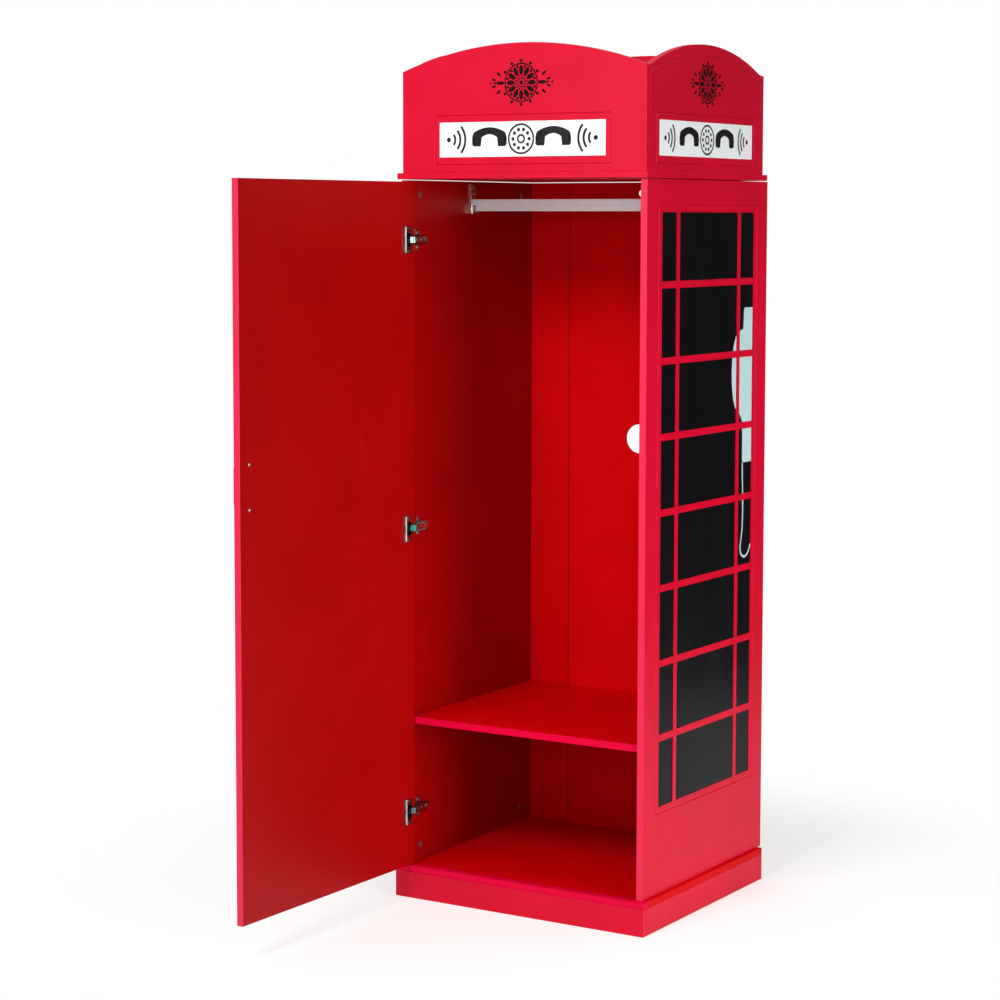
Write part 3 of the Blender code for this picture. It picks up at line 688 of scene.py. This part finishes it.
@dataclass(frozen=True)
class CrossHead:
    """A round head with a cross recess, such as a screw's or a cam lock's."""

    radius: float
    height: float
    dome: float = 0.35
    arm: float = 0.52
    slot: float = 0.13
    depth: float = 0.7
    sides: int = 40

    def add(self, surface: Surface, seat: Array, out: Array) -> None:
        """Adds the head.

        Rings run up a cylinder's wall and in over the top. The top falls from the
        middle as dome times the square of the radius, and a cross is sunk into it
        where |x| is under the slot's half width and |y| under the arm's length, or
        the other way round, with soft edges.

        Args:
            surface: gathers the head.
            seat: the middle of its underside.
            out: the direction that it faces, one unit long.
        """
        wall = np.array([[1.0, 0.0], [1.0, 0.0], [1.0, 1.0 - self.dome]])
        r = np.concatenate([wall[:, 0], np.linspace(0.97, 0.02, 15)])
        t = np.linspace(0, 2 * math.pi, self.sides, endpoint=False)
        x, y = np.abs(r[:, None] * np.cos(t)), np.abs(r[:, None] * np.sin(t))
        arms = np.maximum(self._soft(x, self.slot) * self._soft(y, self.arm),
                          self._soft(y, self.slot) * self._soft(x, self.arm))
        top = 1 - self.dome * r[:, None] ** 2 - self.depth * arms
        z = np.where(np.arange(len(r))[:, None] < 3, 0.0, top)
        z[2] = 1 - self.dome
        out = np.asarray(out, float)
        a = np.cross(np.array((0.0, 0.0, 1.0)), out)
        a /= np.linalg.norm(a)
        b = np.cross(out, a)
        rings = (np.asarray(seat) + self.radius * r[:, None, None]
                 * (np.cos(t)[None, :, None] * a + np.sin(t)[None, :, None] * b)
                 + self.height * z[..., None] * out)
        rings[0] = rings[1] - 0.0001 * out + (rings[1] - rings[1].mean(0)) * -0.02
        surface.tube(rings)

    @staticmethod
    def _soft(value: Array, edge: float) -> Array:
        """1 inside the edge and 0 outside, over a width of 0.05."""
        return np.clip((edge + 0.025 - value) / 0.05, 0, 1)


# ---------------------------------------------------------------- places
@dataclass(frozen=True)
class DoorPlace:
    """Turns places on the door into the row's frame, as the door stands open.

    u runs from the hinge edge to the free edge, v stands out of the inner face into
    the cabinet, and z is the height.
    """

    opened: float = math.radians(91.0)
    pin_u: float = 0.010
    pin_v: float = -0.002
    width: float = 0.633

    @property
    def pin(self) -> Array:
        """The pin that the door turns on."""
        joint = next(j for j in frame["joints"] if j["name"] == "door_turn")
        return np.array(joint["pos_m"][:2])

    @property
    def along(self) -> Array:
        """From the hinge edge to the free edge."""
        return np.array((math.cos(self.opened), -math.sin(self.opened), 0.0))

    @property
    def inward(self) -> Array:
        """Out of the door's inner face."""
        return np.array((math.sin(self.opened), math.cos(self.opened), 0.0))

    def at(self, u: Number, v: Number, z: Number) -> Array:
        """One point of the door."""
        flat = np.array((*self.pin, 0.0))
        point = flat + (u - self.pin_u) * self.along + (v - self.pin_v) * self.inward
        return point + np.array((0.0, 0.0, z))


def low_high(node: str) -> tuple[Array, Array]:
    """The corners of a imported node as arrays."""
    low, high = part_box(node)
    return np.array(low), np.array(high)


def keep(obj: bpy.types.Object, body: Body, slot: str, *nodes: str) -> bpy.types.Object:
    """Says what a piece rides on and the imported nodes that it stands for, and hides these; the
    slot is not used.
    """
    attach(obj, body.value)
    if nodes:
        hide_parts(*nodes)
    LOG.info("%s: %d faces, rides on %s", obj.name, len(obj.data.polygons), body.value)
    return obj


# ---------------------------------------------------------------- sub-assemblies
@dataclass
class Boards:
    """Gives every packed board that stays in view its finish."""

    paint: Paint
    inside: tuple[str, ...] = ("back_panel", "shelf", "base_board")

    def dress(self) -> None:
        """Picks a finish by the node's name."""
        picks = (("window_sheet", self.paint.pane), ("sign_plate", self.paint.sign),
                 ("side_panel", self.paint.sides), ("door_panel", self.paint.door),
                 ("glazing_bars", self.paint.bars), ("cam_", self.paint.zinc),
                 ("hinge_link_middle", self.paint.teal), ("hinge_link", self.paint.blued),
                 ("hinge_arm_middle", self.paint.teal), ("hinge_arm", self.paint.blued),
                 ("hinge_cup", self.paint.cup), ("hinge_", self.paint.nickel),
                 ("rail_socket", self.paint.nickel), ("shelf_peg", self.paint.nickel),
                 ("handle_screw", self.paint.screw), ("hanging_rail", self.paint.aluminium),
                 ("door_handle", self.paint.handle))
        for name, node in frame["nodes"].items():
            found = [m for start, m in picks if name.startswith(start)]
            plain = self.paint.inside if name.startswith(self.inside) else self.paint.shell
            chosen = found[0] if found else plain
            node.data.materials.clear()
            node.data.materials.append(chosen)
            LOG.info("%s: finished in %s", name, chosen.name)


@dataclass
class HangingRail:
    """An oval extruded rail with fine ribs along its two broad sides."""

    paint: Paint
    ribs: int = 5
    rib_depth: float = 0.0005
    stations: int = 40
    sides: int = 120

    def build(self) -> None:
        """Extrudes the ribbed flat tube.

        The outline is a superellipse of the sixth power, nearly a rectangle with round
        corners. Its broad sides sink by rib_depth times a raised cosine of the height,
        ribs times over.
        """
        low, high = low_high("hanging_rail")
        middle, half = (low + high) / 2, (high - low) / 2
        t = np.linspace(0, 2 * math.pi, self.sides, endpoint=False)
        reach = (np.abs(np.cos(t)) ** 6 + np.abs(np.sin(t)) ** 6) ** (-1 / 6)
        y, z = half[1] * reach * np.cos(t), half[2] * reach * np.sin(t)
        flat = half[2] * 0.86
        rib = (1 + np.cos(2 * math.pi * self.ribs * z / (2 * flat))) / 2
        inside = np.clip((flat - np.abs(z)) / 0.001, 0, 1)
        y = y - np.sign(y) * self.rib_depth * (1 - rib) * inside
        x = np.linspace(low[0], high[0], self.stations)
        shrink = np.where(np.arange(self.stations) % (self.stations - 1) == 0, 0.96, 1.0)
        rings = np.stack(np.broadcast_arrays(x[:, None], middle[1] + y * shrink[:, None],
                                             middle[2] + z * shrink[:, None]), -1)
        rings[1, :, 0] = x[0] + 0.0004
        rings[-2, :, 0] = x[-1] - 0.0004
        surface = Surface()
        surface.tube(rings)
        keep(surface.make("rail_ribbed", self.paint.aluminium, 25), Body.CARCASS,
             "aluminium", "hanging_rail")
        self._screws()

    def _screws(self) -> None:
        """Two screws through each wall socket's plate, above the rail."""
        head = CrossHead(0.0034, 0.0016)
        surface = Surface()
        for node, out in (("rail_socket_left", Axis.RIGHT), ("rail_socket_right", Axis.LEFT)):
            low, high = low_high(node)
            y = (low[1] + high[1]) / 2
            wall = low[0] if out is Axis.RIGHT else high[0]
            face = wall + out.value[0] * 0.00405
            for drop in (0.008, 0.022):
                head.add(surface, np.array((face, y, high[2] - drop)), np.array(out.value))
        keep(surface.make("socket_screws", self.paint.screw), Body.CARCASS, "nickel_steel")


@dataclass
class Hinges:
    """Screws, cup lips and arm covers on the three concealed hinges."""

    paint: Paint
    place: DoorPlace
    names: tuple[str, ...] = ("lower", "middle", "upper")
    wing: float = 0.00205
    screw_gap: float = 0.016
    cup_gap: float = 0.026
    lip_u: float = 0.0355
    lip_half: float = 0.0011
    lip_high: float = 0.0016

    def build(self) -> None:
        """Builds the details of all three hinges as four pieces, two for each body."""
        fixed, door, cover, lips = Surface(), Surface(), Surface(), Surface()
        for name in self.names:
            self._cup_lip(lips, name)
            self._plate_screws(fixed, name)
            self._cup_screws(door, name)
            self._arm_cover(cover, name)
        keep(fixed.make("hinge_plate_screws", self.paint.screw), Body.CARCASS,
             "nickel_steel")
        keep(door.make("hinge_cup_screws", self.paint.screw), Body.DOOR, "nickel_steel")
        keep(cover.make("hinge_arm_covers", self.paint.nickel), Body.CARCASS,
             "nickel_steel")
        keep(lips.make("hinge_cup_lips", self.paint.lip), Body.DOOR, "nickel_steel")

    def _cup_lip(self, surface: Surface, name: str) -> None:
        """A folded lip along the flange's far edge, with round ends.

        The lip is a rounded bar: its half width and height fall to its ends as the
        square root of one minus the eighth power of the way along.
        """
        low, high = low_high("hinge_cup_" + name)
        z = np.linspace(low[2] + 0.0004, high[2] - 0.0004, 30)
        ends = np.sqrt(np.clip(1.02 - np.abs(np.linspace(-1, 1, 30)) ** 8, 0, 1))
        around = np.linspace(0, 2 * math.pi, 14, endpoint=False)
        rings = [[self.place.at(self.lip_u + self.lip_half * end * math.cos(a),
                                0.0009 + self.lip_high * end * (1 + math.sin(a)), height)
                  for a in around] for height, end in zip(z, ends)]
        surface.tube(np.array(rings))

    def _plate_screws(self, surface: Surface, name: str) -> None:
        """Two wing screws and the arm's fixing and adjusting screws."""
        out = np.array(Axis.RIGHT.value)
        low, high = low_high("hinge_plate_" + name)
        z = (low[2] + high[2]) / 2
        line = low[1] + 0.014
        for sign in (-1, 1):
            seat = np.array((low[0] + self.wing, line, z + sign * self.screw_gap))
            CrossHead(0.0038, 0.0017).add(surface, seat, out)
        top = low_high("hinge_arm_" + name)[1][0] + 0.0008
        for back, radius in ((0.0100, 0.0022), (0.0290, 0.0034)):
            seat = np.array((top, low[1] - 0.006 + back + 0.0085, z))
            CrossHead(radius, 0.0012).add(surface, seat, out)

    def _cup_screws(self, surface: Surface, name: str) -> None:
        """Two screws through the cup's flange."""
        low, high = low_high("hinge_cup_" + name)
        z = (low[2] + high[2]) / 2
        for sign in (-1, 1):
            seat = self.place.at(0.028, 0.00155, z + sign * self.cup_gap)
            CrossHead(0.0036, 0.0016).add(surface, seat, self.place.inward)

    def _arm_cover(self, surface: Surface, name: str) -> None:
        """A pressed lip along the arm's crown.

        A strip whose half width swells as a sine along the arm and whose crown is an
        arc across it: height is 0.7 mm times one minus the square across.
        """
        low, high = low_high("hinge_arm_" + name)
        z = (low[2] + high[2]) / 2
        y = np.linspace(low[1] + 0.0150, high[1] - 0.0012, 24)
        t = np.linspace(0, 1, 24)
        half = 0.0052 + 0.0022 * np.sin(math.pi * t) ** 0.5
        across = np.linspace(-1, 1, 13)
        crown = 0.0009 * (1 - across ** 2) ** 0.5
        top = np.stack(np.broadcast_arrays(high[0] + 0.00005 + crown[None, :], y[:, None],
                                           z + half[:, None] * across[None, :]), -1)
        under = top[:, 1:-1][:, ::-1].copy()
        under[..., 0] = high[0] + 0.00005
        surface.tube(np.concatenate([top, under], 1))


@dataclass
class DoorFittings:
    """The bow handle outside the door and its two screws inside."""

    paint: Paint
    place: DoorPlace
    inset: float = 0.032
    pitch: float = 0.096
    middle: float = 1.008
    reach: float = 0.0205
    thick: float = 0.0052
    board: float = 0.016

    def build(self) -> None:
        """Sweeps the handle and sets the screw heads."""
        surface = Surface()
        surface.tube(self._bow())
        keep(surface.make("bow_handle", self.paint.handle), Body.DOOR, "red_metal",
             "door_handle")
        heads = Surface()
        u = self.place.width - self.inset
        for sign, name in ((-1, "lower"), (1, "upper")):
            seat = self.place.at(u, 0.0003, self.middle + sign * self.pitch / 2)
            CrossHead(0.0042, 0.0021, dome=0.5).add(heads, seat, self.place.inward)
        keep(heads.make("handle_screw_heads", self.paint.screw), Body.DOOR, "nickel_steel",
             "handle_screw_lower", "handle_screw_upper")

    def _bow(self) -> Array:
        """A round section along a bow: straight feet, quarter turns and a straight grip.

        The section flattens a little towards the grip's middle and flares into the feet.
        """
        u = self.place.width - self.inset
        foot, top, half = -self.board - 0.0003, -self.board - self.reach, self.pitch / 2
        bend = 0.012
        a = np.linspace(0, math.pi / 2, 10)
        v = np.concatenate([np.linspace(foot, top + bend, 8)[:-1],
                            top + bend * (1 - np.sin(a))])
        z = np.concatenate([np.full(7, -half), -half + bend * (1 - np.cos(a))])
        grip = np.linspace(z[-1], -z[-1], 26)[1:-1]
        v = np.concatenate([v, np.full(len(grip), top), v[::-1]])
        z = np.concatenate([z, grip, -z[::-1]])
        path = np.stack([self.place.at(u, vi, self.middle + zi) for vi, zi in zip(v, z)])
        return sweep(path, self._section, self.place.along)

    def _section(self, t: Array) -> Array:
        """An oval that is wider across the door in the middle of the grip."""
        around = np.linspace(0, 2 * math.pi, 32, endpoint=False)
        waist = np.clip(1 - (np.abs(2 * t - 1) ** 6), 0, 1)
        wide = self.thick * (0.86 + 0.14 * (1 - waist) + 0.10 * waist)
        deep = self.thick * (1.0 - 0.18 * waist)
        return np.stack([wide[:, None] * np.cos(around), deep[:, None] * np.sin(around)], -1)


@dataclass
class CamLocks:
    """The cast cam locks that draw the boards together, seen as discs in the sides."""

    paint: Paint

    def build(self) -> None:
        """Makes one disc with a cross recess for each packed lock."""
        for node in sorted(n for n in frame["nodes"] if n.startswith("cam_")):
            low, high = low_high(node)
            out = Axis.RIGHT if "left" in node else Axis.LEFT
            wall = high[0] if out is Axis.RIGHT else low[0]
            radius, depth = (high[2] - low[2]) / 2, (high[0] - low[0]) - 0.0002
            seat = np.array((wall - out.value[0] * depth, *((low + high) / 2)[1:]))
            surface = Surface()
            head = CrossHead(radius, depth, dome=0.02, arm=0.6, slot=0.14, depth=0.2)
            head.add(surface, seat, np.array(out.value))
            keep(surface.make("lock_" + node[4:], self.paint.zinc), Body.CARCASS, "zinc",
                 node)


@dataclass
class PhoneGraphic:
    """The pale handset and lead printed on the right window's panes."""

    paint: Paint
    lead: float = 0.0052

    def build(self) -> None:
        """Lays the handset and its lead on the black sheet, behind the bars."""
        low, high = low_high("window_sheet_right")
        layer = FilmLayer(Plane((high[0], 0.0, 0.0), Axis.RIGHT.value))
        edge = high[1] - 0.0042
        surface = Surface()
        self._handset(layer, surface, edge)
        self._lead(layer, surface, edge)
        keep(surface.make("phone_graphic", self.paint.aqua), Body.CARCASS, "white_sign")

    def _handset(self, layer: FilmLayer, surface: Surface, edge: float) -> None:
        """The handset: between a left outline and the edge of the window.

        The left outline is straight between a few heights, with a bulge added between
        1.128 and 1.306 m as a half ellipse.
        """
        z = np.linspace(1.006, 1.365, 140)
        left = np.interp(z, [1.006, 1.010, 1.100, 1.113, 1.128, 1.306, 1.314, 1.3145, 1.360,
                             1.365],
                         [0.1925, 0.189, 0.188, 0.180, 0.164, 0.164, 0.1775, 0.189, 0.192,
                          0.196])
        swell = np.sqrt(np.clip(1 - ((z - 1.2165) / 0.0890) ** 2, 0, 1))
        left = left - 0.032 * swell
        layer.strip(surface, np.stack([left, z], 1),
                    np.stack([np.full_like(z, edge), z], 1))

    def _lead(self, layer: FilmLayer, surface: Surface, edge: float) -> None:
        """The lead: down from the handset and round a loop at the bottom."""
        knots = [(0.1905, 1.0055), (0.1915, 0.975), (0.194, 0.93), (0.195, 0.894),
                 (0.193, 0.848), (0.186, 0.822), (0.182, 0.806), (0.188, 0.790),
                 (0.206, 0.783), (0.222, 0.790), (0.231, 0.801), (edge, 0.812)]
        path = smooth_line(knots, 110)
        layer.ribbon(surface, path, np.full(110, self.lead))


@dataclass
class SignGraphics:
    """A row of handset, sound and dial symbols on each sign plate."""

    paint: Paint
    plates: tuple[tuple[str, Axis], ...] = (("front", Axis.FRONT), ("left", Axis.LEFT),
                                            ("right", Axis.RIGHT))

    def build(self) -> None:
        """Spaces five symbols evenly along each plate."""
        for name, axis in self.plates:
            low, high = low_high("sign_plate_" + name)
            middle = (low + high) / 2
            out = np.array(axis.value)
            face = middle + out * (high - low) / 2
            layer = FilmLayer(Plane(tuple(face), axis.value))
            long_way = max(high[0] - low[0], high[1] - low[1])
            size = (high[2] - low[2]) * 0.40
            surface = Surface()
            symbols = (self._waves, self._handset, self._dial, self._handset, self._waves)
            places = np.linspace(-0.385, 0.385, len(symbols)) * long_way
            for index, (symbol, u) in enumerate(zip(symbols, places)):
                symbol(layer, surface, u, size, 1 if index < 2 else -1)
            for u in (places[:-1] + places[1:]) / 2:
                layer.dot(surface, (u, 0.0), size * 0.10)
            keep(surface.make("sign_symbols_" + name, self.paint.ink), Body.CARCASS,
                 "black_pane")

    def _handset(self, layer: FilmLayer, surface: Surface, u: float, size: float,
                 way: int) -> None:
        """A lying handset: a thick, slightly arched grip between two hanging ends.

        One strip runs from end to end between a top line, which falls from the middle
        as the square of the way out, and a bottom line, which is an arch under the grip
        and drops to the flat of each end. The outer corners are rounded.
        """
        x = np.linspace(-1.46, 1.46, 110)
        out = np.abs(x)
        top = 0.86 - 0.44 * (out / 1.46) ** 2
        arch = 0.36 - 0.30 * (out / 0.75) ** 2
        bottom = arch + (-0.50 - arch) * np.clip((out - 0.66) / 0.07, 0, 1)
        round_off = np.clip((out - 1.26) / 0.20, 0, 1) ** 3
        top, bottom = top - 0.30 * round_off, bottom + 0.16 * round_off
        layer.strip(surface, np.stack([u + x * size, top * size], 1),
                    np.stack([u + x * size, bottom * size], 1))

    def _waves(self, layer: FilmLayer, surface: Surface, u: float, size: float,
               way: int) -> None:
        """Three sound arcs that open towards the middle of the plate, and a dot."""
        start = u - way * size * 0.8
        turn = 0 if way > 0 else 180
        layer.dot(surface, (start, 0.0), size * 0.17)
        for radius in (0.55, 0.98, 1.41):
            layer.ring(surface, (start, 0.0), size * (radius - 0.09), size * (radius + 0.09),
                       turn - 42, turn + 42, 20)

    def _dial(self, layer: FilmLayer, surface: Surface, u: float, size: float,
              way: int) -> None:
        """A dial: a ring of finger holes inside a rim, around a hub."""
        layer.ring(surface, (u, 0.0), size * 0.96, size * 1.10, 0.5, 359.5, 72)
        for i in range(10):
            a = 2 * math.pi * i / 10
            layer.dot(surface, (u + size * 0.68 * math.cos(a), size * 0.68 * math.sin(a)),
                      size * 0.13)
        layer.ring(surface, (u, 0.0), size * 0.20, size * 0.34, 0.5, 359.5, 40)


@dataclass
class CrownEmblems:
    """A round rosette, cut like a stencil, in the middle of each crown board."""

    paint: Paint
    height: float = 1.8665
    radius: float = 0.047
    petals: int = 12
    boards: tuple[tuple[str, Axis], ...] = (("front", Axis.FRONT), ("left", Axis.LEFT),
                                            ("right", Axis.RIGHT))

    def build(self) -> None:
        """Lays a rosette on each board."""
        for name, axis in self.boards:
            low, high = low_high("crown_" + name)
            out = np.array(axis.value)
            middle = (low + high) / 2
            face = middle + out * (high - low) / 2
            face[2] = self.height
            layer = FilmLayer(Plane(tuple(face), axis.value))
            surface = Surface()
            self._rosette(layer, surface)
            keep(surface.make("rosette_" + name, self.paint.stencil), Body.CARCASS,
                 "black_pane")

    def _rosette(self, layer: FilmLayer, surface: Surface) -> None:
        """Rings of petals and beads around a hub, between an inner and an outer rim."""
        r = self.radius
        for i in range(self.petals):
            a = 2 * math.pi * i / self.petals
            spoke = np.array((math.cos(a), math.sin(a)))
            between = np.array((math.cos(a + math.pi / self.petals),
                                math.sin(a + math.pi / self.petals)))
            layer.dot(surface, spoke * r * 0.58, r * 0.24, 0.50, a, 0.7)
            layer.dot(surface, between * r * 0.76, r * 0.070)
            layer.dot(surface, spoke * r * 1.02, r * 0.080)
            layer.dot(surface, between * r * 0.30, r * 0.045)
        for side in (-1, 1):
            for reach, lift, size in ((1.18, 0.0, 0.20), (1.24, 0.42, 0.15),
                                      (1.24, -0.42, 0.15), (1.50, 0.16, 0.13),
                                      (1.50, -0.16, 0.13)):
                centre = np.array((side * reach, lift)) * r
                layer.dot(surface, centre, size * r, 0.42, side * lift * 1.6, 0.7)
            layer.dot(surface, (side * 1.44 * r, 0.0), r * 0.06)
            layer.dot(surface, (side * 1.70 * r, 0.0), r * 0.055)
        layer.ring(surface, (0.0, 0.0), r * 0.85, r * 0.92, 0.5, 359.5, 90)
        layer.ring(surface, (0.0, 0.0), r * 0.17, r * 0.22, 0.5, 359.5, 40)
        layer.dot(surface, (0.0, 0.0), r * 0.10)


# ---------------------------------------------------------------- studio
@dataclass
class Studio:
    """The pale floor, the soft lights and the camera."""

    paint: Paint
    camera_at: tuple[float, float, float] = (2.91604, -5.03594, 1.57012)
    yaw: float = 31.981
    pitch: float = 5.0456
    roll: float = -0.109
    lens: float = 90.603
    shift: float = -0.060
    floor_radius: float = 2.7
    horizon: float = 0.03
    zenith: float = 0.75

    def build(self) -> None:
        """Builds the floor, the lights, the surroundings and the camera."""
        self._floor()
        self._world()
        self._light("key", (-0.1, -4.6, 4.1), 1.4, 168.0)
        self._light("sheen", (-1.5, -4.8, 1.8), 0.7, 16.0)
        self._light("front", (2.6, -4.9, 1.7), 1.2, 4.8, (0.0, 0.0, 1.35), 40.0)
        self._light("side", (4.4, -1.2, 1.0), 1.8, 17.0, (0.0, 0.0, 0.6), 60.0)
        self._camera()

    def _floor(self) -> None:
        """A wide disc just under the plinth: rings of growing radius around a point."""
        a = np.linspace(0, 2 * math.pi, 96, endpoint=False)
        r = np.geomspace(0.3, self.floor_radius, 12)
        x, y = r[:, None] * np.cos(a), r[:, None] * np.sin(a)
        points = np.stack([x, y, np.full_like(x, -0.0004)], -1).reshape(-1, 3)
        order = np.arange(len(points)).reshape(12, 96)
        after = np.roll(order, -1, axis=1)
        quads = np.stack([order[:-1], order[1:], after[1:], after[:-1]], -1).reshape(-1, 4)
        mesh = bpy.data.meshes.new("studio_floor")
        mesh.from_pydata(points.tolist(), [], quads.tolist() + [order[0].tolist()])
        mesh.materials.append(self.paint.floor)
        floor = bpy.data.objects.new("studio_floor", mesh)
        bpy.context.scene.collection.objects.link(floor)

    def _world(self) -> None:
        """White to the eye; as light, dark at the horizon and bright overhead."""
        world = bpy.data.worlds.new("studio")
        world.use_nodes = True
        s = Nodes(world.node_tree)
        back = s.tree.nodes["Background"]
        ray = s.node("ShaderNodeTexCoord", {}, {}, "Generated")
        up = s.node("ShaderNodeSeparateXYZ", {}, {0: ray}, 2)
        seen = s.node("ShaderNodeLightPath", {}, {}, "Is Camera Ray")
        light = up.above(-0.1, 1.0) * self.zenith + self.horizon
        strength = seen + (1 - seen) * light
        s.tree.links.new(strength.link, back.inputs["Strength"])
        back.inputs["Color"].default_value = (1.0, 1.0, 1.0, 1.0)
        bpy.context.scene.world = world
        bpy.context.scene.view_settings.view_transform = "Standard"

    def _light(self, name: str, place: Sequence[float], size: float, power: float,
               target: Sequence[float] = (0.0, 0.0, 1.0),
               spread: float = 180.0) -> None:
        """A square soft box aimed at a point, with a grid if its spread is narrow."""
        lamp = bpy.data.lights.new(name, "AREA")
        lamp.size = size
        lamp.energy = power
        lamp.spread = math.radians(spread)
        obj = bpy.data.objects.new(name, lamp)
        obj.location = place
        aim = Vector(target) - Vector(place)
        obj.rotation_euler = aim.to_track_quat("-Z", "Y").to_euler()
        bpy.context.scene.collection.objects.link(obj)

    def _camera(self) -> None:
        """A long lens, slightly tilted down."""
        data = bpy.data.cameras.new("camera")
        data.sensor_width = 36.0
        data.lens = self.lens
        data.shift_y = self.shift
        data.clip_end = 200.0
        obj = bpy.data.objects.new("camera", data)
        obj.location = self.camera_at
        obj.rotation_euler = (math.radians(90 - self.pitch), math.radians(self.roll),
                              math.radians(self.yaw))
        bpy.context.scene.collection.objects.link(obj)
        bpy.context.scene.camera = obj


def main() -> None:
    """Builds everything in order."""
    paint = Paint()
    place = DoorPlace()
    Boards(paint).dress()
    HangingRail(paint).build()
    Hinges(paint, place).build()
    DoorFittings(paint, place).build()
    CamLocks(paint).build()
    PhoneGraphic(paint).build()
    SignGraphics(paint).build()
    CrownEmblems(paint).build()
    Studio(paint).build()


if __name__ == "__main__":
    main()
